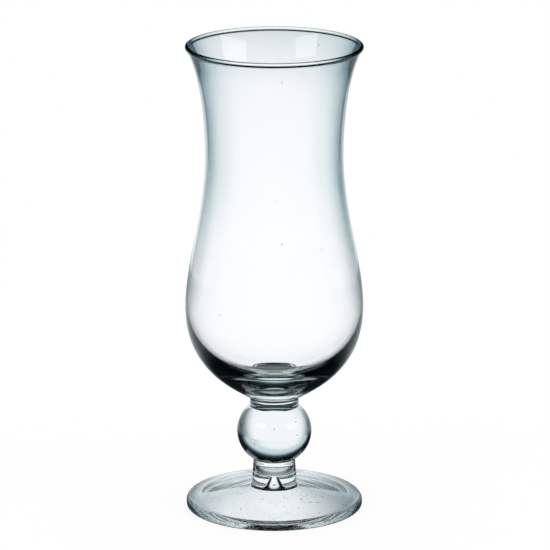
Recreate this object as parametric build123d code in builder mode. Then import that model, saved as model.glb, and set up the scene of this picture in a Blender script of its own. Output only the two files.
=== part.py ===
"""Hurricane glass: a tall waisted bowl on a short stem with a ball, standing on a round foot.

Every piece is a body of revolution about the Z axis. The foot rests on Z = 0, and each piece
above it starts on the flat face on which the piece below ends, because the pieces are fused there.
All lengths are in millimetres and all angles in degrees.
"""

import os
from math import acos, atan2, cos, degrees, radians, sin, sqrt

from build123d import *

# Foot: a disc with a sloping top, a boss that takes the stem, and an underside hollowed to a cone,
# from the middle of which a pointed kick rises into the boss
foot_diameter = 76.5
foot_edge_height = 4.2
foot_edge_top_round = 2.2
foot_edge_bottom_round = 1.2
foot_slope_rise = 5.0
foot_hollow_diameter = 66.0
foot_hollow_depth = 7.8
kick_diameter = 6.0
kick_height = 5.5
kick_round = 3.0
kick_tip_diameter = 1.8
kick_tip_round = 0.8
boss_base_diameter = 19.6
boss_height = 6.2
boss_fillet = 1.2

# Seam between the boss and the stem: one diameter, with both edges slightly rounded
seam_diameter = 18.75
seam_round = 0.3

# Lower stem: a short drum that narrows upwards
stem_length = 5.9
stem_top_diameter = 17.9

# Ball: a slightly flattened ball, with a flat where each neighbour is fused on
ball_diameter = 32.3
ball_height = 30.0

# Neck collar: a short cylinder that flares out to meet the underside of the bowl
neck_diameter = 21.1
neck_length = 4.7
neck_flare_radius = 2.0
neck_flare_angle = 60.0

# Bowl: heights are above its seam with the neck collar, and the wall ends in a bead at the rim
bowl_height = 155.2
belly_diameter = 76.8
belly_height = 40.0
waist_diameter = 59.3
waist_height = 107.3
rim_diameter = 76.2
rim_flare_angle = 26.0
belly_wall_thickness = 1.0
waist_wall_thickness = 1.4
rim_wall_thickness = 1.1
bead_diameter = 2.0
bead_fillet = 0.4
floor_thickness = 8.0

# Curve holds: the share of each stretch over which the bowl keeps the direction of that end
underside_hold = 0.50
belly_hold_down = 0.61
belly_hold_up = 0.28
waist_hold_down = 0.36
waist_hold_up = 0.43
rim_hold = 0.24
floor_hold = 0.50
inner_belly_hold_down = 0.70


def curve_from_belly_to_waist(belly_radius, waist_radius):
    """The S of the bowl between its widest and its narrowest place, upright at both ends."""
    stretch = waist_z - belly_z
    return Bezier(
        (belly_radius, belly_z),
        (belly_radius, belly_z + belly_hold_up * stretch),
        (waist_radius, waist_z - waist_hold_down * stretch),
        (waist_radius, waist_z),
    )


def curve_from_waist_to_rim(waist_radius, rim_point):
    """The flare of the bowl, upright at the waist and leaning out by the flare angle at the rim."""
    stretch = rim_point.Y - waist_z
    lean = Vector(sin(radians(rim_flare_angle)), cos(radians(rim_flare_angle)))
    return Bezier(
        (waist_radius, waist_z),
        (waist_radius, waist_z + waist_hold_up * stretch),
        rim_point - lean * (rim_hold * stretch),
        rim_point,
    )


def ring_edge(part, radius, height):
    """The round edge of a part with this radius at this height."""
    circles = part.edges().filter_by(GeomType.CIRCLE)
    return min(circles, key=lambda edge: abs(edge.radius - radius) + abs(edge.arc_center.Z - height))


# Radii and the heights at which one piece ends and the next begins
foot_radius = foot_diameter / 2
kick_radius = kick_diameter / 2
kick_tip_radius = kick_tip_diameter / 2
boss_base_radius = boss_base_diameter / 2
seam_radius = seam_diameter / 2
stem_top_radius = stem_top_diameter / 2
ball_radius = ball_diameter / 2
ball_half_height = ball_height / 2
neck_radius = neck_diameter / 2
neck_top_radius = neck_radius + neck_flare_radius * (1 - cos(radians(neck_flare_angle)))

kick_tip_z = foot_hollow_depth + kick_height
boss_base_z = foot_edge_height + foot_slope_rise
foot_top_z = boss_base_z + boss_height
ball_bottom_z = foot_top_z + stem_length
ball_centre_z = ball_bottom_z + ball_half_height * sqrt(1 - (stem_top_radius / ball_radius) ** 2)
ball_top_z = ball_centre_z + ball_half_height * sqrt(1 - (neck_radius / ball_radius) ** 2)
bowl_seam_z = ball_top_z + neck_length
belly_z = bowl_seam_z + belly_height
waist_z = bowl_seam_z + waist_height
rim_z = bowl_seam_z + bowl_height

# Foot
with BuildPart() as foot:
    with BuildSketch(Plane.XZ):
        with BuildLine():
            Polyline(
                (0, kick_tip_z),
                (kick_tip_radius, kick_tip_z),
                (kick_radius, foot_hollow_depth),
                (foot_hollow_diameter / 2, 0),
                (foot_radius, 0),
                (foot_radius, foot_edge_height),
                (boss_base_radius, boss_base_z),
                (seam_radius, foot_top_z),
                (0, foot_top_z),
                close=True,
            )
        make_face()
    revolve(axis=Axis.Z)
    fillet(ring_edge(foot, kick_tip_radius, kick_tip_z), kick_tip_round)
    fillet(ring_edge(foot, kick_radius, foot_hollow_depth), kick_round)
    fillet(ring_edge(foot, foot_radius, 0), foot_edge_bottom_round)
    fillet(ring_edge(foot, foot_radius, foot_edge_height), foot_edge_top_round)
    fillet(ring_edge(foot, boss_base_radius, boss_base_z), boss_fillet)
    fillet(ring_edge(foot, seam_radius, foot_top_z), seam_round)
foot.part.label = "foot"

# Lower stem
with BuildPart() as lower_stem:
    with BuildSketch(Plane.XZ):
        with BuildLine():
            Polyline(
                (0, foot_top_z),
                (seam_radius, foot_top_z),
                (stem_top_radius, ball_bottom_z),
                (0, ball_bottom_z),
                close=True,
            )
        make_face()
    revolve(axis=Axis.Z)
    fillet(ring_edge(lower_stem, seam_radius, foot_top_z), seam_round)
lower_stem.part.label = "lower_stem"

# Ball, drawn as part of an ellipse between its two flats
with BuildPart() as ball_knop:
    with BuildSketch(Plane.XZ):
        with BuildLine():
            lower_angle = -degrees(acos(stem_top_radius / ball_radius))
            upper_angle = degrees(acos(neck_radius / ball_radius))
            side = EllipticalCenterArc(
                (0, ball_centre_z),
                ball_radius,
                ball_half_height,
                start_angle=lower_angle,
                arc_size=upper_angle - lower_angle,
            )
            Polyline(side @ 1, (0, ball_top_z), (0, ball_bottom_z), side @ 0)
        make_face()
    revolve(axis=Axis.Z)
ball_knop.part.label = "ball_knop"

# Neck collar
with BuildPart() as neck_collar:
    with BuildSketch(Plane.XZ):
        with BuildLine():
            flare_start_z = bowl_seam_z - neck_flare_radius * sin(radians(neck_flare_angle))
            flare = JernArc(
                (neck_radius, flare_start_z), (0, 1), neck_flare_radius, -neck_flare_angle
            )
            Polyline(
                flare @ 1,
                (0, bowl_seam_z),
                (0, ball_top_z),
                (neck_radius, ball_top_z),
                flare @ 0,
            )
        make_face()
    revolve(axis=Axis.Z)
neck_collar.part.label = "neck_collar"

# Bowl: the outside from the seam up to the rim, over the bead, and down the inside
with BuildPart() as bowl:
    with BuildSketch(Plane.XZ):
        with BuildLine():
            underside_slope = radians(90 - neck_flare_angle)
            underside_reach = underside_hold * (belly_diameter / 2 - neck_top_radius)
            floor_z = bowl_seam_z + floor_thickness
            bead_radius = bead_diameter / 2
            bead_centre = Vector(rim_diameter / 2 - bead_radius, rim_z - bead_radius)
            up_wall = Vector(sin(radians(rim_flare_angle)), cos(radians(rim_flare_angle)))
            across_wall = Vector(cos(radians(rim_flare_angle)), -sin(radians(rim_flare_angle)))
            fillet_aside = rim_wall_thickness / 2 + bead_fillet
            fillet_below = sqrt((bead_radius + bead_fillet) ** 2 - fillet_aside**2)
            fillet_turn = degrees(atan2(fillet_below, fillet_aside))
            lip = bead_centre + across_wall * (rim_wall_thickness / 2) - up_wall * fillet_below
            inner_belly_radius = belly_diameter / 2 - belly_wall_thickness
            inner_waist_radius = waist_diameter / 2 - waist_wall_thickness

            Bezier(
                (neck_top_radius, bowl_seam_z),
                (
                    neck_top_radius + underside_reach * cos(underside_slope),
                    bowl_seam_z + underside_reach * sin(underside_slope),
                ),
                (belly_diameter / 2, belly_z - belly_hold_down * belly_height),
                (belly_diameter / 2, belly_z),
            )
            curve_from_belly_to_waist(belly_diameter / 2, waist_diameter / 2)
            curve_from_waist_to_rim(waist_diameter / 2, lip)
            outer_fillet = JernArc(lip, up_wall, bead_fillet, -fillet_turn)
            bead = JernArc(outer_fillet @ 1, outer_fillet % 1, bead_radius, 180 + 2 * fillet_turn)
            inner_fillet = JernArc(bead @ 1, bead % 1, bead_fillet, -fillet_turn)
            curve_from_waist_to_rim(inner_waist_radius, inner_fillet @ 1)
            curve_from_belly_to_waist(inner_belly_radius, inner_waist_radius)
            Bezier(
                (0, floor_z),
                (floor_hold * inner_belly_radius, floor_z),
                (inner_belly_radius, belly_z - inner_belly_hold_down * (belly_z - floor_z)),
                (inner_belly_radius, belly_z),
            )
            Polyline((0, floor_z), (0, bowl_seam_z), (neck_top_radius, bowl_seam_z))
        make_face()
    revolve(axis=Axis.Z)
bowl.part.label = "bowl"

print(f"Total height {rim_z:.2f} mm")

os.makedirs("parts", exist_ok=True)
export_step(foot.part, "parts/foot.step")
export_step(lower_stem.part, "parts/lower_stem.step")
export_step(ball_knop.part, "parts/ball_knop.step")
export_step(neck_collar.part, "parts/neck_collar.step")
export_step(bowl.part, "parts/bowl.step")
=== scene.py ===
# %% [markdown]
# # A hurricane glass in front of a lit panel
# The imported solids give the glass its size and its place. This script draws the same five pieces again as
# fine lathed meshes, turns them into real glass, and lights them the way a photographer lights clear glass:
# a bright panel behind it shows through the middle, and dark surroundings draw the edges.

import math

import bpy
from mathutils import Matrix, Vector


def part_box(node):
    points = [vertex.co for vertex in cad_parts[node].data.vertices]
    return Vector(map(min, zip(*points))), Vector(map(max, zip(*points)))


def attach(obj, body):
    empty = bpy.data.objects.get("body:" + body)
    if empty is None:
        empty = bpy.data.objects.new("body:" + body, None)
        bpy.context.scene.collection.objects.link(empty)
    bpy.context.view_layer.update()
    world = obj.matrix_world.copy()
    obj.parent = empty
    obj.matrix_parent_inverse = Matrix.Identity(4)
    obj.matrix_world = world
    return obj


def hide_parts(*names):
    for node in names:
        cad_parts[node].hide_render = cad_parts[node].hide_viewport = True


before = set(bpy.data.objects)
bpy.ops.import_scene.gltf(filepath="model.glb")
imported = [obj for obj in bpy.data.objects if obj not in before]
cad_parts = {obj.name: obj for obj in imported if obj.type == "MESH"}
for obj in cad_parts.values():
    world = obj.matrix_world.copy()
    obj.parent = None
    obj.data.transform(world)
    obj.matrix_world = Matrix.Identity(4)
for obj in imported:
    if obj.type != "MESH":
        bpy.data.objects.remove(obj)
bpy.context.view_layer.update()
scene = bpy.context.scene

# %% [markdown]
# ## Colours and nodes
# Blender's scene is in metres and its sockets take linear colours. The outlines below are written in
# millimetres and the colours as sRGB hex values, because that is how both are measured, and one place
# turns each into what Blender wants. One function adds a node of any kind and links it.

# %% Units, colours and nodes
MM = 0.001


def linear(hex_colour):
    """An sRGB hex colour such as "#d8e4e4", as the linear RGBA that Blender's sockets take."""
    channels = [int(hex_colour[place : place + 2], 16) / 255 for place in (1, 3, 5)]
    curved = [c / 12.92 if c <= 0.04045 else ((c + 0.055) / 1.055) ** 2.4 for c in channels]
    return (*curved, 1.0)


def add(tree, kind, sockets=None, stops=None, **settings):
    """Adds a node: settings are its properties, sockets its inputs, set or linked, and stops a ramp's
    pairs of a place and a colour or a plain level."""
    made = tree.nodes.new(kind)
    for name, value in settings.items():
        setattr(made, name, value)
    for name, value in (sockets or {}).items():
        if isinstance(value, bpy.types.NodeSocket):
            tree.links.new(value, made.inputs[name])
        else:
            made.inputs[name].default_value = value
    for index, (place, colour) in enumerate(stops or []):
        elements = made.color_ramp.elements
        if index == 0:
            elements.remove(elements[1])
        element = elements.new(place) if index else elements[0]
        element.position = place
        element.color = linear(colour) if isinstance(colour, str) else (colour, colour, colour, 1.0)
    return made


def empty_tree(owner):
    """The node tree of a material or a world, with nothing in it."""
    owner.use_nodes = True
    owner.node_tree.nodes.clear()
    return owner.node_tree


print("linear mid grey", round(linear("#808080")[0], 4))

# %% [markdown]
# ## Camera
# The glass was photographed from a little above with a long lens: the ellipse of its rim is only slightly
# flatter than that of its foot. The place of the camera comes from fitting the outline of the glass.

# %% Camera
camera_place = (0.0, -1.7944, 0.5934)
camera_target = (0.0003, 0.0, 0.1036)
focal_length = 282.65
sensor_width = 36.0
farthest_seen = 50.0

camera = bpy.data.objects.new("camera", bpy.data.cameras.new("camera"))
camera.data.lens = focal_length
camera.data.sensor_width = sensor_width
camera.data.clip_end = farthest_seen
camera.location = camera_place
drop = camera_place[2] - camera_target[2]
reach = camera_target[1] - camera_place[1]
aside = camera_target[0] - camera_place[0]
camera.rotation_euler = (math.atan2(reach, drop), 0.0, -math.atan2(aside, reach))
scene.collection.objects.link(camera)
scene.camera = camera
scene.view_settings.view_transform = "Standard"
print("camera looks down by", round(math.degrees(math.atan2(drop, reach)), 2), "degrees")

# %% [markdown]
# ## What the glass sees
# Clear glass has no colour of its own to show: one sees it by what it bends and mirrors. A photographer
# gives it something bright to bend and something dark to mirror, in front of plain white. Here the camera
# and matt things see that white, and only light that left a glass surface finds the room, the panel and
# the paper as they are lit below. Such light counts as glossy, as transmitted, or as both, so either one
# marks it. A second helper tells how it came through: whether it went into glass at all, whether it
# crossed both walls of the bowl, which is four surfaces, and whether it was mirrored inside on its way.
# No real room looks different to different light. This is a trick of the stage, and its levels were set by
# comparing renders with the photograph.

# %% What the glass sees
surfaces_of_two_walls = 4


def by_viewer(tree, plain, in_glass):
    """Mixes two shaders: one for the camera and matt things, one for light bent or mirrored by glass."""
    rays = add(tree, "ShaderNodeLightPath").outputs
    from_glass = add(
        tree,
        "ShaderNodeMath",
        {0: rays["Is Glossy Ray"], 1: rays["Is Transmission Ray"]},
        operation="MAXIMUM",
    ).outputs[0]
    return add(tree, "ShaderNodeMixShader", {0: from_glass, 1: plain, 2: in_glass}).outputs[0]


def way_through_glass(tree):
    """Three values of 0 or 1: the light went into glass, crossed two walls, and was mirrored inside."""
    rays = add(tree, "ShaderNodeLightPath").outputs
    events = (
        ("Transmission Depth", 1),
        ("Transmission Depth", surfaces_of_two_walls),
        ("Glossy Depth", 1),
    )
    entered, crossed, turned = [
        add(tree, "ShaderNodeMath", {0: rays[depth], 1: count - 0.5}, operation="GREATER_THAN").outputs[0]
        for depth, count in events
    ]
    mirrored = add(tree, "ShaderNodeMath", {0: entered, 1: turned}, operation="MULTIPLY").outputs[0]
    return entered, crossed, mirrored


print("both walls of the bowl have", surfaces_of_two_walls, "surfaces")

# %% [markdown]
# ## Room
# The walls of the room are pale low down and dark, with a cold cast, higher up. Light that glass only bends
# sees them so. Light that glass mirrors, inside or outside, finds the whole room dark, as between black
# cards, so every edge that throws the view far aside turns dark. Each wall of the bowl mirrors a twelfth of
# the light away. A photographer makes up for that in exposure, and here the light that has crossed two
# walls is brought up by as much instead.

# %% Room
glass_ior = 1.52
mirrored_off = ((glass_ior - 1) / (glass_ior + 1)) ** 2
two_wall_gain = 1 / (1 - mirrored_off) ** surfaces_of_two_walls
darkest_wall = "#05090a"

room = bpy.data.worlds.new("dark_room")
scene.world = room
tree = empty_tree(room)
white = add(tree, "ShaderNodeBackground", {"Color": linear("#ffffff"), "Strength": 1.0}).outputs[0]
dark = add(tree, "ShaderNodeBackground", {"Color": linear(darkest_wall), "Strength": 1.0}).outputs[0]

# The upward part of a direction is the sine of how steeply it rises
towards = add(tree, "ShaderNodeTexCoord").outputs["Generated"]
rise = add(tree, "ShaderNodeSeparateXYZ", {0: towards}).outputs["Z"]
wall = add(
    tree,
    "ShaderNodeValToRGB",
    {"Fac": rise},
    stops=[
        (0.08, "#fcfeff"),
        (0.20, "#e1e9ec"),
        (0.32, "#9fb4ba"),
        (0.45, "#1b2a2e"),
        (0.65, darkest_wall),
    ],
).outputs["Color"]
entered, crossed, mirrored = way_through_glass(tree)
gain = add(
    tree, "ShaderNodeMapRange", {"Value": crossed, "To Min": 1.0, "To Max": two_wall_gain}
).outputs["Result"]
pale = add(tree, "ShaderNodeBackground", {"Color": wall, "Strength": gain}).outputs[0]
bent_only = add(tree, "ShaderNodeMath", {0: entered, 1: mirrored}, operation="SUBTRACT").outputs[0]
around = add(tree, "ShaderNodeMixShader", {0: bent_only, 1: dark, 2: pale}).outputs[0]
add(tree, "ShaderNodeOutputWorld", {"Surface": by_viewer(tree, white, around)})
print("room:", room.name, "with a gain of", round(two_wall_gain, 3), "behind two walls")

# %% [markdown]
# ## Lit panel
# Half a metre behind the glass hangs a white cloth, whose glow is painted bright low down. Its distance
# matters: the rim, high up, sees the dark above the light at once, and so has black lines, while the ball,
# low down, sees white up to a good height. A single upright face is enough for it, since all it has to do
# is glow.

# %% Lit panel
panel_distance = 0.5
panel_half_width = 2.5
panel_height = 1.2

panel_mesh = bpy.data.meshes.new("lit_panel")
panel_mesh.from_pydata(
    [
        (side * panel_half_width, panel_distance, height)
        for side, height in ((-1, 0.0), (1, 0.0), (1, panel_height), (-1, panel_height))
    ],
    [],
    [(0, 1, 2, 3)],
)
panel = bpy.data.objects.new("lit_panel", panel_mesh)
scene.collection.objects.link(panel)
print("panel", 2 * panel_half_width, "m wide at", panel_distance, "m")

# %% [markdown]
# ## Light of the panel
# No lamp stands behind the cloth: an oval pool of light, a little to the left, that fades out upwards and
# sideways, is painted into its glow. So the brightness follows the distance from the middle of the pool,
# counted in its radii. At the foot of the cloth, light that crossed two walls is brought up as it is on the
# paper, so that no horizon shows through the bowl. Light that was mirrored inside the glass finds the far
# sides of the cloth painted darker.

# %% Light of the panel
pool_centre = (-0.10, panel_distance, 0.03)
pool_radii = (0.58, 1.0, 0.165)
widest_spread = 2.5
pool_colours = [
    (0.28, "#fbfeff"),
    (0.40, "#f2f6f8"),
    (0.50, "#dae4e8"),
    (0.80, "#cfdbdf"),
    (0.95, "#9fb4ba"),
    (1.10, "#4f666c"),
    (1.35, "#1b2a2e"),
    (1.80, "#060a0b"),
]
solid_gain = 1.02
high_gain = 1.13
high_gain_from = 0.06
card_starts = 0.15
card_full = 0.30
card_level = 0.42

# Woven cotton with no sheen; its glow is painted, with no lamp behind it
cloth = bpy.data.materials.new("white_cloth_with_painted_glow")
tree = empty_tree(cloth)
place = add(tree, "ShaderNodeTexCoord").outputs["Object"]
parts = add(tree, "ShaderNodeSeparateXYZ", {0: place}).outputs
from_centre = add(
    tree, "ShaderNodeVectorMath", {0: place, 1: pool_centre}, operation="SUBTRACT"
).outputs[0]
in_radii = add(
    tree, "ShaderNodeVectorMath", {0: from_centre, 1: pool_radii}, operation="DIVIDE"
).outputs[0]
spread = add(tree, "ShaderNodeVectorMath", {0: in_radii}, operation="LENGTH").outputs["Value"]
share_of_widest = add(tree, "ShaderNodeMath", {0: spread, 1: widest_spread}, operation="DIVIDE").outputs[0]
pool = add(
    tree,
    "ShaderNodeValToRGB",
    {"Fac": share_of_widest},
    stops=[(radii / widest_spread, colour) for radii, colour in pool_colours],
).outputs["Color"]

_, crossed, mirrored = way_through_glass(tree)
two_wall_light = add(
    tree,
    "ShaderNodeMapRange",
    {"Value": parts["Z"], "From Max": high_gain_from, "To Min": two_wall_gain, "To Max": high_gain},
).outputs["Result"]
gain = add(tree, "ShaderNodeMix", {"Factor": crossed, 2: solid_gain, 3: two_wall_light}).outputs[0]
across = add(tree, "ShaderNodeMath", {0: parts["X"]}, operation="ABSOLUTE").outputs[0]
mirrored_light = add(
    tree,
    "ShaderNodeMapRange",
    {"Value": across, "From Min": card_starts, "From Max": card_full, "To Min": 1.0, "To Max": card_level},
).outputs["Result"]
share = add(tree, "ShaderNodeMix", {"Factor": mirrored, 2: 1.0, 3: mirrored_light}).outputs[0]
strength = add(tree, "ShaderNodeMath", {0: gain, 1: share}, operation="MULTIPLY").outputs[0]
shine = add(tree, "ShaderNodeEmission", {"Color": pool, "Strength": strength}).outputs[0]
unseen = add(tree, "ShaderNodeBsdfTransparent").outputs[0]
add(tree, "ShaderNodeOutputMaterial", {"Surface": by_viewer(tree, unseen, shine)})
panel_mesh.materials.append(cloth)
print("cloth:", cloth.name, "with", len(pool_colours), "steps from white to dark")

# %% [markdown]
# ## Paper
# The glass stands on a wide sheet of white paper. The camera sees it as matt paper near the glass, which
# keeps a faint shadow, and as plain white further off, so that it runs into the white behind it.

# %% Paper
paper_radius = 6.0
paper_sides = 64
matt_within = 0.1
plain_beyond = 0.5
least_plain = 0.88

paper_mesh = bpy.data.meshes.new("paper")
corner_turns = [math.tau * step / paper_sides for step in range(paper_sides)]
paper_mesh.from_pydata(
    [(paper_radius * math.cos(turn), paper_radius * math.sin(turn), 0.0) for turn in corner_turns],
    [],
    [list(range(paper_sides))],
)
paper = bpy.data.objects.new("paper", paper_mesh)
scene.collection.objects.link(paper)

# Uncoated paper: matt, so it takes a shadow and shows no gloss
matt_paper = bpy.data.materials.new("matt_white_paper")
tree = empty_tree(matt_paper)
place = add(tree, "ShaderNodeTexCoord").outputs["Object"]
far = add(tree, "ShaderNodeVectorMath", {0: place}, operation="LENGTH").outputs["Value"]
matt = add(tree, "ShaderNodeBsdfDiffuse", {"Color": linear("#fafafa")}).outputs[0]
plain = add(tree, "ShaderNodeEmission", {"Color": linear("#ffffff"), "Strength": 1.0}).outputs[0]
fade = add(
    tree,
    "ShaderNodeMapRange",
    {"Value": far, "From Min": matt_within, "From Max": plain_beyond, "To Min": least_plain},
).outputs["Result"]
sheet = add(tree, "ShaderNodeMixShader", {0: fade, 1: matt, 2: plain}).outputs[0]
print("paper", 2 * paper_radius, "m across")

# %% [markdown]
# ## Paper seen through solid glass
# The ball, the stem and the foot gather the paper from far around, and its glow is painted for them. Under
# the foot it is bright in the middle and dimmer towards both sides. Beyond the foot it is bright towards
# the panel, painted dark to both sides, where a photographer would put black cards, and bright again in
# front. The levels go by degrees aside from the lit middle, which lies a little to the left, and a ramp
# reads them over half a turn.

# %% Paper seen through solid glass
lit_middle = math.radians(-5)
middle_offset = 0.005
bright_within = 0.016
dim_beyond = 0.036
bright_level = 1.10
dim_level = 0.62
foot_ring_inside = 0.0335
foot_ring_outside = 0.0365
# Painted levels of the paper's glow: dark to both sides, with no cards there
levels_aside = [(26, 1.05), (36, 0.78), (46, 0.40), (56, 0.16), (70, 0.08), (82, 0.08), (98, 1.0)]


def over_half_turn(levels):
    """A ramp's stops over half a turn, from pairs of degrees and a level."""
    return [(degrees / 180, level) for degrees, level in levels]


parts = add(tree, "ShaderNodeSeparateXYZ", {0: place}).outputs
turn = add(tree, "ShaderNodeMath", {0: parts["X"], 1: parts["Y"]}, operation="ARCTAN2").outputs[0]
from_middle = add(tree, "ShaderNodeMath", {0: turn, 1: lit_middle}, operation="SUBTRACT").outputs[0]
aside = add(tree, "ShaderNodeMath", {0: from_middle}, operation="ABSOLUTE").outputs[0]
half_turns = add(tree, "ShaderNodeMath", {0: aside, 1: math.pi}, operation="DIVIDE").outputs[0]
sides = add(
    tree, "ShaderNodeValToRGB", {"Fac": half_turns}, stops=over_half_turn(levels_aside)
).outputs["Color"]
off_middle = add(tree, "ShaderNodeMath", {0: parts["X"], 1: middle_offset}, operation="ADD").outputs[0]
across = add(tree, "ShaderNodeMath", {0: off_middle}, operation="ABSOLUTE").outputs[0]
under_foot = add(
    tree,
    "ShaderNodeMapRange",
    {
        "Value": across,
        "From Min": bright_within,
        "From Max": dim_beyond,
        "To Min": bright_level,
        "To Max": dim_level,
    },
).outputs["Result"]
beyond_foot = add(
    tree,
    "ShaderNodeMapRange",
    {"Value": far, "From Min": foot_ring_inside, "From Max": foot_ring_outside},
).outputs["Result"]
solid_light = add(tree, "ShaderNodeMix", {"Factor": beyond_foot, 2: under_foot, 3: sides}).outputs[0]
print("paper under the foot:", bright_level, "in the middle,", dim_level, "at the sides")

# %% [markdown]
# ## Paper seen through the bowl
# Through both walls of the bowl the paper is white, but for a painted shadow of the stem behind the middle
# of the foot, which shows as a small dark ellipse on the bowl's floor. The outside of the glass mirrors the
# paper too, whose glow is painted for it: hardly bright where it is close, and best some way off towards
# the panel. Distances are in metres from the axis of the glass, which a ramp can read as they are.

# %% Paper seen through the bowl
# A painted shadow: a dark spot in the paper's glow, which nothing casts
painted_stem_shadow = (0.0, 0.018, 0.0)
shadow_radius = 0.008
shadow_edge = 0.012
shadow_level = 0.1
outside_levels_aside = [(20, 0.9), (60, 0.6), (90, 0.3), (120, 0.1)]
outside_levels_far = [(0.09, 0.05), (0.15, 0.9), (0.3, 0.9), (0.6, 0.4)]

entered, crossed, mirrored = way_through_glass(tree)
from_shadow = add(
    tree, "ShaderNodeVectorMath", {0: place, 1: painted_stem_shadow}, operation="DISTANCE"
).outputs["Value"]
two_wall_light = add(
    tree,
    "ShaderNodeMapRange",
    {
        "Value": from_shadow,
        "From Min": shadow_radius,
        "From Max": shadow_edge,
        "To Min": shadow_level,
        "To Max": two_wall_gain,
    },
).outputs["Result"]
inside_light = add(
    tree, "ShaderNodeMix", {"Factor": crossed, 2: solid_light, 3: two_wall_light}
).outputs[0]
outside_turn = add(
    tree, "ShaderNodeValToRGB", {"Fac": half_turns}, stops=over_half_turn(outside_levels_aside)
).outputs["Color"]
outside_far = add(tree, "ShaderNodeValToRGB", {"Fac": far}, stops=outside_levels_far).outputs["Color"]
outside_light = add(
    tree, "ShaderNodeMath", {0: outside_turn, 1: outside_far}, operation="MULTIPLY"
).outputs[0]
seen_light = add(
    tree, "ShaderNodeMix", {"Factor": entered, 2: outside_light, 3: inside_light}
).outputs[0]
print("shadow of the stem", 2 * shadow_radius, "m across")

# %% [markdown]
# ## Paper mirrored inside the glass
# Light that was mirrored inside the glass meets the paper at odd places, and its glow is painted for it:
# dark under the stem, dim far out, dark beside the foot and from the sides forwards, and behind two walls
# also dark in a ring under the belly. That draws the dark lines of the foot, the edge of the ball and the
# crescents at the bottom of the bowl. What is dim is also painted bluer, as it is in the photograph.

# %% Paper mirrored inside the glass
mirrored_levels_far = [(0.016, 0.05), (0.020, 1.0), (0.12, 1.0), (0.25, 0.45)]
ring_levels_far = [(0.029, 1.0), (0.031, 0.12), (0.035, 0.12), (0.038, 1.0)]
mirrored_levels_aside = [(65, 1.0), (76, 0.7), (83, 0.06)]
foot_side_levels = [(0.033, 1.0), (0.039, 0.1), (0.12, 0.1), (0.20, 1.0)]
foot_side_starts = 0.043
foot_side_full = 0.046

mirrored_far = add(tree, "ShaderNodeValToRGB", {"Fac": far}, stops=mirrored_levels_far).outputs["Color"]
ring = add(tree, "ShaderNodeValToRGB", {"Fac": far}, stops=ring_levels_far).outputs["Color"]
under_belly = add(tree, "ShaderNodeMix", {"Factor": crossed, 2: 1.0, 3: ring}).outputs[0]
mirrored_turn = add(
    tree, "ShaderNodeValToRGB", {"Fac": half_turns}, stops=over_half_turn(mirrored_levels_aside)
).outputs["Color"]
off_foot = add(
    tree,
    "ShaderNodeMapRange",
    {"Value": far, "From Min": foot_side_starts, "From Max": foot_side_full},
).outputs["Result"]
across_off_foot = add(tree, "ShaderNodeMath", {0: across, 1: off_foot}, operation="MULTIPLY").outputs[0]
beside_foot = add(
    tree, "ShaderNodeValToRGB", {"Fac": across_off_foot}, stops=foot_side_levels
).outputs["Color"]
mirrored_light = mirrored_far
for part_light in (under_belly, mirrored_turn, beside_foot):
    mirrored_light = add(
        tree, "ShaderNodeMath", {0: mirrored_light, 1: part_light}, operation="MULTIPLY"
    ).outputs[0]
share = add(tree, "ShaderNodeMix", {"Factor": mirrored, 2: 1.0, 3: mirrored_light}).outputs[0]
shown = add(tree, "ShaderNodeMath", {0: seen_light, 1: share}, operation="MULTIPLY").outputs[0]
shade = add(
    tree,
    "ShaderNodeValToRGB",
    {"Fac": shown},
    stops=[(0.1, "#b4d3dd"), (0.5, "#d8e9ee"), (0.95, "#fcfeff")],
).outputs["Color"]
glow = add(tree, "ShaderNodeEmission", {"Color": shade, "Strength": shown}).outputs[0]
add(tree, "ShaderNodeOutputMaterial", {"Surface": by_viewer(tree, sheet, glow)})
paper_mesh.materials.append(matt_paper)
print("paper:", matt_paper.name)

# %% [markdown]
# ## Softboxes
# Two soft lamps stand in front, to the left and to the right. The far wall of the bowl is a hollow mirror,
# so each shows on the opposite side of it, as a pale window just below the rim, and the ball shows both as
# faint spots. Bent light doesn't see them, because a white lamp would break up the dark edges.

# %% Softboxes
softbox_distance = 1.5
softbox_power = 7.0
softbox_aim_height = 0.2

for name, turn, lift, width, height in (
    ("left_softbox", -50, 24.5, 0.83, 0.44),
    ("right_softbox", 64, 20, 1.03, 0.48),
):
    lamp = bpy.data.lights.new(name, "AREA")
    lamp.shape = "RECTANGLE"
    lamp.size = width
    lamp.size_y = height
    lamp.energy = softbox_power * width * height
    softbox = bpy.data.objects.new(name, lamp)
    softbox.visible_transmission = False
    turn = math.radians(turn)
    lift = math.radians(lift)
    softbox.location = (
        softbox_distance * math.cos(lift) * math.sin(turn),
        -softbox_distance * math.cos(lift) * math.cos(turn),
        softbox_distance * math.sin(lift) + softbox_aim_height,
    )
    softbox.rotation_euler = (math.pi / 2 - lift, 0.0, turn)
    scene.collection.objects.link(softbox)
    print(name, [round(value, 2) for value in softbox.location])

# %% [markdown]
# ## Light inside glass
# In the thick bottom of the bowl a ray is thrown to and fro many times before it gets out. Cut short, it
# would end black, so the number of bounces is set high.

# %% Light inside glass
glass_bounces = 48
clear_passes = 16

scene.cycles.max_bounces = glass_bounces
scene.cycles.transmission_bounces = glass_bounces
scene.cycles.glossy_bounces = glass_bounces
scene.cycles.transparent_max_bounces = clear_passes
print("bounces", scene.cycles.max_bounces)

# %% [markdown]
# ## Lathe
# Every piece of the glass was shaped while it turned, so each is one outline swept around the upright axis.
# The helpers make the stretches of an outline: straight, curved, round, and the round of a corner. Where
# two pieces are fused, both end in a flat face, and there the lathe marks the faces, so that the glass can
# let light pass as if there were none. A Screw modifier could sweep an outline too, but it wouldn't mark
# those faces. The two of a seam stand a hundredth of a millimetre apart, too little to see.

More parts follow.
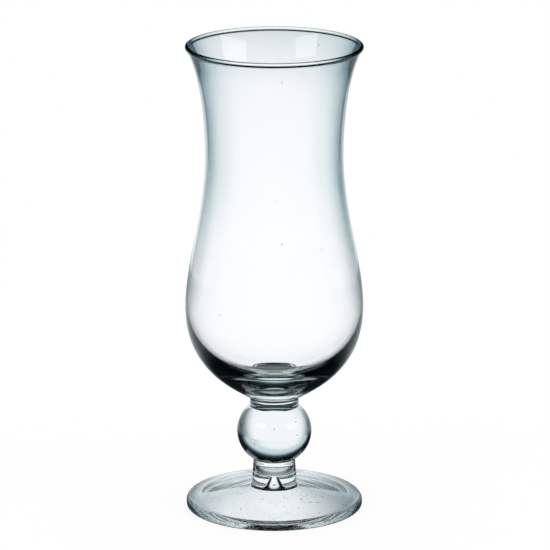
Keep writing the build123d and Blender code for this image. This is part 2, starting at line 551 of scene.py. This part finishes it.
# %% Lathe
SEGMENTS = 192
SEAM_GAP = 0.005
SHARP_TURN = math.radians(18)
ON_AXIS = 1e-6


def along(first, last, steps):
    """Points on a straight line, without the first one."""
    return [
        tuple(a + (b - a) * step / steps for a, b in zip(first, last))
        for step in range(1, steps + 1)
    ]


def bezier(first, lead, follow, last, steps):
    """Points on a cubic curve, without the first one."""
    points = []
    for step in range(1, steps + 1):
        t = step / steps
        weights = ((1 - t) ** 3, 3 * t * (1 - t) ** 2, 3 * t * t * (1 - t), t**3)
        corners = list(zip(weights, (first, lead, follow, last)))
        points.append(tuple(sum(weight * corner[axis] for weight, corner in corners) for axis in (0, 1)))
    return points


def arc(centre, radii, start, end, steps):
    """Points on part of an ellipse, from one angle in degrees to another, without the first one."""
    turns = [math.radians(start + (end - start) * step / steps) for step in range(1, steps + 1)]
    return [
        (centre[0] + radii[0] * math.cos(turn), centre[1] + radii[1] * math.sin(turn))
        for turn in turns
    ]


def rounded(before, corner, after, radius, steps):
    """Points on the arc that rounds a corner, from its tangent point on one side to the other."""
    towards = [math.atan2(point[1] - corner[1], point[0] - corner[0]) for point in (before, after)]
    between = (towards[1] - towards[0] + math.pi) % math.tau - math.pi
    middle = towards[0] + between / 2
    distance = radius / math.sin(abs(between) / 2)
    centre = (corner[0] + distance * math.cos(middle), corner[1] + distance * math.sin(middle))
    sweep = (math.pi - abs(between)) * (-1 if between > 0 else 1)
    start = middle + math.pi - sweep / 2
    angles = [start + sweep * step / steps for step in range(steps + 1)]
    return [
        (centre[0] + radius * math.cos(angle), centre[1] + radius * math.sin(angle)) for angle in angles
    ]


def sharpen(mesh, outline, rings):
    """Marks the edges of each ring where the outline turns a corner, so that shading breaks there."""
    sharp_ring = {}
    for index in range(1, len(outline) - 1):
        before, here, after = outline[index - 1 : index + 2]
        first = math.atan2(here[1] - before[1], here[0] - before[0])
        second = math.atan2(after[1] - here[1], after[0] - here[0])
        if abs((second - first + math.pi) % math.tau - math.pi) > SHARP_TURN:
            sharp_ring.update((vertex, index) for vertex in rings[index])
    for edge in mesh.edges:
        ends = [sharp_ring.get(vertex) for vertex in edge.vertices]
        edge.use_edge_sharp = ends[0] is not None and ends[0] == ends[1]


def lathe(name, outline, seams):
    """Turns an outline, in mm from one point of the axis to another, into a closed mesh.

    Faces at the height of a fused seam are marked in the attribute "fused"."""
    vertices = []
    rings = []
    for radius, height in outline:
        if radius < ON_AXIS:
            rings.append([len(vertices)] * SEGMENTS)
            vertices.append((0.0, 0.0, height * MM))
        else:
            rings.append(list(range(len(vertices), len(vertices) + SEGMENTS)))
            turns = [math.tau * step / SEGMENTS for step in range(SEGMENTS)]
            vertices += [
                (radius * MM * math.cos(turn), radius * MM * math.sin(turn), height * MM) for turn in turns
            ]

    faces = []
    fused = []
    for index, (lower, upper) in enumerate(zip(rings, rings[1:])):
        heights = [outline[index][1], outline[index + 1][1]]
        on_seam = any(all(abs(height - seam) < 2 * SEAM_GAP for height in heights) for seam in seams)
        for step in range(SEGMENTS):
            onward = (step + 1) % SEGMENTS
            corners = [lower[step], lower[onward], upper[onward], upper[step]]
            faces.append(list(dict.fromkeys(corners)))
            fused.append(1.0 if on_seam else 0.0)

    mesh = bpy.data.meshes.new(name)
    mesh.from_pydata(vertices, [], faces)
    mesh.polygons.foreach_set("use_smooth", [True] * len(faces))
    mesh.attributes.new("fused", "FLOAT", "FACE").data.foreach_set("value", fused)
    sharpen(mesh, outline, rings)
    mesh.update()
    piece = bpy.data.objects.new(name, mesh)
    scene.collection.objects.link(piece)
    print(name, len(vertices), "vertices,", len(faces), "faces")
    return piece


print("lathe with", SEGMENTS, "segments")

# %% [markdown]
# ## Foot
# The foot is pressed: a plunger spreads the hot glass into a disc with a sloping top, and forms the boss
# that takes the stem. Its underside is hollow, so that it stands on a ring and doesn't rock. In the middle
# the hollow rises to a pointed kick inside the boss, which shows through the glass as a small arch.

# %% Foot
foot_radius = 76.5 / 2
foot_edge_height = 4.2
foot_edge_top_round = 2.2
foot_edge_bottom_round = 1.2
foot_slope_rise = 5.0
foot_hollow_radius = 66.0 / 2
foot_hollow_depth = 7.8
kick_radius = 6.0 / 2
kick_height = 5.5
kick_round = 3.0
kick_tip_radius = 1.8 / 2
kick_tip_round = 0.8
boss_base_radius = 19.6 / 2
boss_height = 6.2
boss_fillet = 1.2
seam_radius = 18.75 / 2
seam_round = 0.3

kick_tip_z = foot_hollow_depth + kick_height
boss_base_z = foot_edge_height + foot_slope_rise
foot_top_z = boss_base_z + boss_height
kick_tip = (0.0, kick_tip_z)
kick_tip_corner = (kick_tip_radius, kick_tip_z)
kick_corner = (kick_radius, foot_hollow_depth)
hollow_edge = (foot_hollow_radius, 0.0)
bottom_corner = (foot_radius, 0.0)
edge_corner = (foot_radius, foot_edge_height)
boss_base_corner = (boss_base_radius, boss_base_z)
boss_top_corner = (seam_radius, foot_top_z - SEAM_GAP)
boss_top = (0.0, foot_top_z - SEAM_GAP)

boss_base_arc = rounded(edge_corner, boss_base_corner, boss_top_corner, boss_fillet, steps=12)
foot_outline = [kick_tip]
foot_outline += rounded(kick_tip, kick_tip_corner, kick_corner, kick_tip_round, steps=10)
foot_outline += rounded(kick_tip_corner, kick_corner, hollow_edge, kick_round, steps=12)
foot_outline += along(foot_outline[-1], hollow_edge, steps=16)
foot_outline += rounded(hollow_edge, bottom_corner, edge_corner, foot_edge_bottom_round, steps=10)
foot_outline += rounded(bottom_corner, edge_corner, boss_base_corner, foot_edge_top_round, steps=14)
foot_outline += along(foot_outline[-1], boss_base_arc[0], steps=16)
foot_outline += boss_base_arc[1:]
foot_outline += rounded(boss_base_corner, boss_top_corner, boss_top, seam_round, steps=6)
foot_outline += [boss_top]
foot = lathe("pressed_foot", foot_outline, [foot_top_z])

# %% [markdown]
# ## Lower stem
# A short gather of glass joins the boss to the ball. It was pulled a little thinner upwards. Where it sits
# on the boss, both edges are slightly round, and the groove between them is the thin dark ring low on the
# stem.

# %% Lower stem
stem_length = 5.9
stem_top_radius = 17.9 / 2

ball_bottom_z = foot_top_z + stem_length
stem_bottom = (0.0, foot_top_z + SEAM_GAP)
stem_bottom_corner = (seam_radius, foot_top_z + SEAM_GAP)
stem_top_corner = (stem_top_radius, ball_bottom_z - SEAM_GAP)
stem_outline = [stem_bottom]
stem_outline += rounded(stem_bottom, stem_bottom_corner, stem_top_corner, seam_round, steps=6)
stem_outline += along(stem_outline[-1], stem_top_corner, steps=8)
stem_outline += [(0.0, ball_bottom_z - SEAM_GAP)]
lower_stem = lathe("pressed_lower_stem", stem_outline, [foot_top_z, ball_bottom_z])

# %% [markdown]
# ## Ball
# The ball, or knop, is solid and slightly flattened. It turns the view upside down, as a lens does: its
# lower edge shows the dark upper part of the panel, and its middle the white paper.

# %% Ball
ball_radius = 32.3 / 2
ball_half_height = 30.0 / 2
neck_radius = 21.1 / 2

lower_angle = -math.degrees(math.acos(stem_top_radius / ball_radius))
upper_angle = math.degrees(math.acos(neck_radius / ball_radius))
ball_centre_z = ball_bottom_z - ball_half_height * math.sin(math.radians(lower_angle))
ball_top_z = ball_centre_z + ball_half_height * math.sin(math.radians(upper_angle))
ball_radii = (ball_radius, ball_half_height)
ball_outline = [(0.0, ball_bottom_z + SEAM_GAP), (stem_top_radius, ball_bottom_z + SEAM_GAP)]
ball_outline += arc((0.0, ball_centre_z), ball_radii, lower_angle, upper_angle, steps=72)[:-1]
ball_outline += [(neck_radius, ball_top_z - SEAM_GAP), (0.0, ball_top_z - SEAM_GAP)]
ball_knop = lathe("pressed_ball_knop", ball_outline, [ball_bottom_z, ball_top_z])

# %% [markdown]
# ## Neck collar
# A short collar, which glassmakers call a merese, carries the bowl. It flares at its top, where the soft
# glass was pressed against the underside of the bowl.

# %% Neck collar
neck_length = 4.7
neck_flare_radius = 2.0
neck_flare_angle = 60.0

bowl_seam_z = ball_top_z + neck_length
flare_start_z = bowl_seam_z - neck_flare_radius * math.sin(math.radians(neck_flare_angle))
flare_centre = (neck_radius + neck_flare_radius, flare_start_z)
flare_radii = (neck_flare_radius, neck_flare_radius)
neck_outline = [(0.0, ball_top_z + SEAM_GAP), (neck_radius, ball_top_z + SEAM_GAP)]
neck_outline += along(neck_outline[-1], (neck_radius, flare_start_z), steps=4)
neck_outline += arc(flare_centre, flare_radii, 180, 180 - neck_flare_angle, steps=12)
neck_top_radius = neck_outline[-1][0]
neck_outline[-1] = (neck_top_radius, bowl_seam_z - SEAM_GAP)
neck_outline += [(0.0, bowl_seam_z - SEAM_GAP)]
neck_collar = lathe("pressed_neck_collar", neck_outline, [ball_top_z, bowl_seam_z])

# %% [markdown]
# ## Bowl
# The bowl is blown into a mould, which gives the belly, the waist and the flare. The wall comes out
# thinnest where it was blown widest, and a thick floor stays at the bottom. After that the sharp rim is
# melted back into a bead. Its sizes are those of the solid, with heights above the seam.

# %% Bowl
bowl_height = 155.2
belly_radius = 76.8 / 2
belly_height = 40.0
waist_radius = 59.3 / 2
waist_height = 107.3
rim_radius = 76.2 / 2
rim_flare_angle = 26.0
belly_wall_thickness = 1.0
waist_wall_thickness = 1.4
rim_wall_thickness = 1.1
bead_radius = 2.0 / 2
bead_fillet = 0.4
floor_thickness = 8.0

belly_z = bowl_seam_z + belly_height
waist_z = bowl_seam_z + waist_height
rim_z = bowl_seam_z + bowl_height
floor_z = bowl_seam_z + floor_thickness
inner_belly_radius = belly_radius - belly_wall_thickness
inner_waist_radius = waist_radius - waist_wall_thickness
print("rim at", round(rim_z, 2), "mm")

# %% [markdown]
# ## Curves of the bowl
# Each wall is a few cubic curves that are upright at the belly and at the waist. A hold is the share of a
# stretch over which its curve keeps the direction of that end. At the rim the wall leans out, so the bead,
# and the small fillets where it meets the wall, are measured across and up that leaning wall.

# %% Curves of the bowl
underside_hold = 0.50
belly_hold_down = 0.61
belly_hold_up = 0.28
waist_hold_down = 0.36
waist_hold_up = 0.43
rim_hold = 0.24
floor_hold = 0.50
inner_belly_hold_down = 0.70

flare = math.radians(rim_flare_angle)
bead_centre = (rim_radius - bead_radius, rim_z - bead_radius)
fillet_aside = rim_wall_thickness / 2 + bead_fillet
fillet_below = math.sqrt((bead_radius + bead_fillet) ** 2 - fillet_aside**2)
fillet_turn = math.degrees(math.atan2(fillet_below, fillet_aside))


def by_bead(across, up):
    """A point given by its distances from the middle of the bead, across and up the leaning wall."""
    return (
        bead_centre[0] + across * math.cos(flare) + up * math.sin(flare),
        bead_centre[1] - across * math.sin(flare) + up * math.cos(flare),
    )


def belly_to_waist(belly, waist):
    """The corners of the curve between the widest and the narrowest place."""
    stretch = waist_z - belly_z
    return (
        (belly, belly_z),
        (belly, belly_z + belly_hold_up * stretch),
        (waist, waist_z - waist_hold_down * stretch),
        (waist, waist_z),
    )


def waist_to_rim(waist, lip):
    """The corners of the curve that flares from the waist to the bead."""
    stretch = lip[1] - waist_z
    back = rim_hold * stretch
    return (
        (waist, waist_z),
        (waist, waist_z + waist_hold_up * stretch),
        (lip[0] - back * math.sin(flare), lip[1] - back * math.cos(flare)),
        lip,
    )


print("the bead meets the wall", round(fillet_below, 2), "mm below its middle")

# %% [markdown]
# ## Outline of the bowl
# The outline runs up the outside, over the bead and down the inside. A modifier could thicken a single
# wall instead, but drawing both lets the glass change from the thick floor to the thin belly and the bead.

# %% Outline of the bowl
outer_lip = by_bead(rim_wall_thickness / 2, -fillet_below)
inner_lip = by_bead(-rim_wall_thickness / 2, -fillet_below)
underside_slope = math.radians(90 - neck_flare_angle)
underside_reach = underside_hold * (belly_radius - neck_top_radius)
underside_lead = (
    neck_top_radius + underside_reach * math.cos(underside_slope),
    bowl_seam_z + underside_reach * math.sin(underside_slope),
)
bowl_outline = [(0.0, bowl_seam_z + SEAM_GAP), (neck_top_radius, bowl_seam_z + SEAM_GAP)]
bowl_outline += bezier(
    (neck_top_radius, bowl_seam_z),
    underside_lead,
    (belly_radius, belly_z - belly_hold_down * belly_height),
    (belly_radius, belly_z),
    steps=64,
)
bowl_outline += bezier(*belly_to_waist(belly_radius, waist_radius), steps=56)
bowl_outline += bezier(*waist_to_rim(waist_radius, outer_lip), steps=48)
fillet_radii = (bead_fillet, bead_fillet)
fillet_start = 180 - rim_flare_angle
bowl_outline += arc(
    by_bead(fillet_aside, -fillet_below),
    fillet_radii,
    fillet_start,
    fillet_start - fillet_turn,
    steps=8,
)
bowl_outline += arc(
    bead_centre,
    (bead_radius, bead_radius),
    -rim_flare_angle - fillet_turn,
    180 - rim_flare_angle + fillet_turn,
    steps=36,
)
bowl_outline += arc(
    by_bead(-fillet_aside, -fillet_below),
    fillet_radii,
    fillet_turn - rim_flare_angle,
    -rim_flare_angle,
    steps=8,
)
bowl_outline += bezier(*reversed(waist_to_rim(inner_waist_radius, inner_lip)), steps=48)
bowl_outline += bezier(*reversed(belly_to_waist(inner_belly_radius, inner_waist_radius)), steps=56)
bowl_outline += bezier(
    (inner_belly_radius, belly_z),
    (inner_belly_radius, belly_z - inner_belly_hold_down * (belly_z - floor_z)),
    (floor_hold * inner_belly_radius, floor_z),
    (0.0, floor_z),
    steps=64,
)
bowl = lathe("blown_bowl", bowl_outline, [bowl_seam_z])

# %% [markdown]
# ## Tint of the edges
# Soda-lime glass is clear, with a trace of iron that makes it blue-green where light runs along it, which
# the volume further down gives. The colour here is painted shade: it darkens towards the edges, where one
# looks along the surface, to a blue-green near black, in place of the dark edges that the surroundings draw
# in clear glass. How deep it is was matched to the photograph: faint at the belly, where the wall is
# thinnest, deeper upwards and at the mouth, and doubled at the widest places, above all in the bead of the
# rim and the edge of the foot, which are rounds of solid glass.

# %% Painted shade of the edges
edge_shade_heights = (85, 145)
widest_places = (36.8, 37.4)
widest_edge_shade = 2.0
mouth_heights = (186, 198)
mouth_edge_shade = 1.4
edge_blend = 0.5
edge_shade_colours = [
    (0.18, "#ffffff"),
    (0.43, "#eaf1f3"),
    (0.60, "#d6e2e6"),
    (0.78, "#a9c0c7"),
    (0.95, "#6c8f98"),
    (1.00, "#23383e"),
]


def painted_edge_shade(tree, place, height, shade_low, shade_high):
    """Painted shade of clear glass: white where it is seen square on, darkening to blue-green along its
    edges.
    """
    level = add(
        tree, "ShaderNodeVectorMath", {0: place, 1: (1.0, 1.0, 0.0)}, operation="MULTIPLY"
    ).outputs[0]
    from_axis = add(tree, "ShaderNodeVectorMath", {0: level}, operation="LENGTH").outputs["Value"]
    edge = add(tree, "ShaderNodeLayerWeight", {"Blend": edge_blend}).outputs["Facing"]
    for value, (start, end), (least, most) in (
        (height, edge_shade_heights, (shade_low, shade_high)),
        (from_axis, widest_places, (1.0, widest_edge_shade)),
        (height, mouth_heights, (1.0, mouth_edge_shade)),
    ):
        depth_of_shade = add(
            tree,
            "ShaderNodeMapRange",
            {"Value": value, "From Min": start * MM, "From Max": end * MM, "To Min": least, "To Max": most},
        ).outputs["Result"]
        edge = add(tree, "ShaderNodeMath", {0: edge, 1: depth_of_shade}, operation="MULTIPLY").outputs[0]
    return add(tree, "ShaderNodeValToRGB", {"Fac": edge}, stops=edge_shade_colours).outputs["Color"]


print("edges go from", edge_shade_colours[0][1], "to", edge_shade_colours[-1][1])

# %% [markdown]
# ## Seeds and scratches
# Seeds are specks trapped in the melt. A Voronoi pattern has one point in each cell, and some of these
# points get a dark dot. The foot is scratched by use, in patches: a line runs wherever a slow noise crosses
# its middle value. Real scratches are a few hundredths of a millimetre wide, too fine to show here, so they
# are drawn several times as wide, and real seeds are a little smaller than these too.

# %% Seeds and scratches
mark_colour = "#3d5156"
seed_radius = 0.3
seeded_share = 0.45
scratch_size = 6
scratch_width = 0.012
scratched_from = 0.60
scratch_strength = 0.55
scratched_up_to = (10, 12)


def seeds_in(tree, place, spacing):
    """Is 1 in the seeds, which lie about this many mm apart."""
    cells = add(tree, "ShaderNodeTexVoronoi", {"Vector": place, "Scale": 1 / (spacing * MM)}).outputs
    near = add(
        tree, "ShaderNodeMath", {0: cells["Distance"], 1: seed_radius / spacing}, operation="LESS_THAN"
    ).outputs[0]
    chance = add(tree, "ShaderNodeSeparateColor", {0: cells["Color"]}).outputs["Red"]
    chosen = add(tree, "ShaderNodeMath", {0: chance, 1: seeded_share}, operation="LESS_THAN").outputs[0]
    return add(tree, "ShaderNodeMath", {0: near, 1: chosen}, operation="MULTIPLY").outputs[0]


def scratches_on_foot(tree, place, height):
    """Is above 0 on the thin lines of the scratches, and 0 above the foot."""
    wander = add(
        tree, "ShaderNodeTexNoise", {"Vector": place, "Scale": 1 / (scratch_size * MM), "Detail": 1.0}
    ).outputs["Fac"]
    off_line = add(tree, "ShaderNodeMath", {0: wander, 1: 0.5}, operation="SUBTRACT").outputs[0]
    off_line = add(tree, "ShaderNodeMath", {0: off_line}, operation="ABSOLUTE").outputs[0]
    on_line = add(tree, "ShaderNodeMath", {0: off_line, 1: scratch_width}, operation="LESS_THAN").outputs[0]
    patches = add(
        tree, "ShaderNodeTexNoise", {"Vector": place, "Scale": 1 / (2 * scratch_size * MM), "Detail": 2.0}
    ).outputs["Fac"]
    in_patch = add(
        tree, "ShaderNodeMath", {0: patches, 1: scratched_from}, operation="GREATER_THAN"
    ).outputs[0]
    scratches = add(tree, "ShaderNodeMath", {0: on_line, 1: in_patch}, operation="MULTIPLY").outputs[0]
    on_foot = add(
        tree,
        "ShaderNodeMapRange",
        {
            "Value": height,
            "From Min": scratched_up_to[0] * MM,
            "From Max": scratched_up_to[1] * MM,
            "To Min": scratch_strength,
            "To Max": 0.0,
        },
    ).outputs["Result"]
    return add(tree, "ShaderNodeMath", {0: scratches, 1: on_foot}, operation="MULTIPLY").outputs[0]


print("seeds", 2 * seed_radius, "mm across, scratches wander over", scratch_size, "mm")

# %% [markdown]
# ## Glass
# Glass is never quite even. Blowing leaves long soft waves up the wall, and pressing leaves short ones from
# the chill of the mould, so both get a bump of a few hundredths of a millimetre. The ring on which the
# glass stands is dulled by wear. The glass itself absorbs a little red, which a volume does better than a
# surface, because it counts how far the light goes. At a fused seam the IOR is 1, so that light passes
# unbent and without the painted edge shade.

# %% Glass
worn_height = 0.15
worn_roughness = 0.35
absorbed_to = "#bfe6ea"
absorption = 4.0


def soda_lime_glass(name, wave_size, wave_depth, seed_spacing, shade_low, shade_high):
    """Clear glass. Wave size gives the waves of its surface in mm along X, Y and Z, depth their height."""
    material = bpy.data.materials.new(name)
    tree = empty_tree(material)
    place = add(tree, "ShaderNodeTexCoord").outputs["Object"]
    height = add(tree, "ShaderNodeSeparateXYZ", {0: place}).outputs["Z"]
    fused = add(tree, "ShaderNodeAttribute", attribute_name="fused").outputs["Fac"]

    # The base colour carries the painted edge shade, and is white at fused seams
    edge_shade = painted_edge_shade(tree, place, height, shade_low, shade_high)
    clear = add(
        tree, "ShaderNodeMix", {"Factor": fused, 6: edge_shade, 7: linear("#ffffff")}, data_type="RGBA"
    ).outputs[2]
    seeds = seeds_in(tree, place, seed_spacing)
    scratches = scratches_on_foot(tree, place, height)
    marks = add(tree, "ShaderNodeMath", {0: seeds, 1: scratches}, operation="MAXIMUM").outputs[0]
    colour = add(
        tree, "ShaderNodeMix", {"Factor": marks, 6: clear, 7: linear(mark_colour)}, data_type="RGBA"
    ).outputs[2]

    in_waves = add(
        tree,
        "ShaderNodeVectorMath",
        {0: place, 1: tuple(1 / (size * MM) for size in wave_size)},
        operation="MULTIPLY",
    ).outputs[0]
    waves = add(
        tree, "ShaderNodeTexNoise", {"Vector": in_waves, "Scale": 1.0, "Detail": 1.0}
    ).outputs["Fac"]
    surface = add(
        tree, "ShaderNodeBump", {"Height": waves, "Strength": 1.0, "Distance": wave_depth * MM}
    ).outputs["Normal"]

    worn = add(
        tree,
        "ShaderNodeMapRange",
        {"Value": height, "From Max": worn_height * MM, "To Min": worn_roughness, "To Max": 0.0},
    ).outputs["Result"]
    bending = add(
        tree, "ShaderNodeMapRange", {"Value": fused, "To Min": glass_ior, "To Max": 1.0}
    ).outputs["Result"]
    glass = add(
        tree,
        "ShaderNodeBsdfPrincipled",
        {
            "Base Color": colour,
            "Roughness": worn,
            "Transmission Weight": 1.0,
            "IOR": bending,
            "Normal": surface,
        },
    ).outputs[0]
    depth = add(
        tree, "ShaderNodeVolumeAbsorption", {"Color": linear(absorbed_to), "Density": absorption}
    ).outputs[0]
    add(tree, "ShaderNodeOutputMaterial", {"Surface": glass, "Volume": depth})
    return material


# Blown and fire-polished: bright and smooth, with long waves and few seeds
blown_glass = soda_lime_glass(
    "soda_lime_glass_mould_blown",
    wave_size=(18, 18, 60),
    wave_depth=0.05,
    seed_spacing=9,
    shade_low=0.15,
    shade_high=1.06,
)
# Pressed and fire-polished: bright too, with short waves, more seeds and painted edge shade of even depth
pressed_glass = soda_lime_glass(
    "soda_lime_glass_pressed",
    wave_size=(9, 9, 6),
    wave_depth=0.02,
    seed_spacing=3,
    shade_low=0.85,
    shade_high=0.85,
)
print("materials:", blown_glass.name, "and", pressed_glass.name)

# %% [markdown]
# ## Dress the pieces
# Each mesh takes the place of the solid that it repeats, stays on the one body of the glass, and gets its
# material slot. The heights are printed side by side, because both should agree to the seam gap.

# %% Dress the pieces
for piece, node, slot, glass in (
    (foot, "foot", "pressed_glass", pressed_glass),
    (lower_stem, "lower_stem", "pressed_glass", pressed_glass),
    (ball_knop, "ball_knop", "pressed_glass", pressed_glass),
    (neck_collar, "neck_collar", "pressed_glass", pressed_glass),
    (bowl, "bowl", "blown_glass", blown_glass),
):
    piece.data.materials.append(glass)
    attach(piece, "root")
    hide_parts(node)
    cad_heights = [round(corner.z, 5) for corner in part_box(node)]
    heights = [vertex.co.z for vertex in piece.data.vertices]
    mesh_heights = [round(limit, 5) for limit in (min(heights), max(heights))]
    print(node, "CAD", cad_heights, "mesh", mesh_heights)
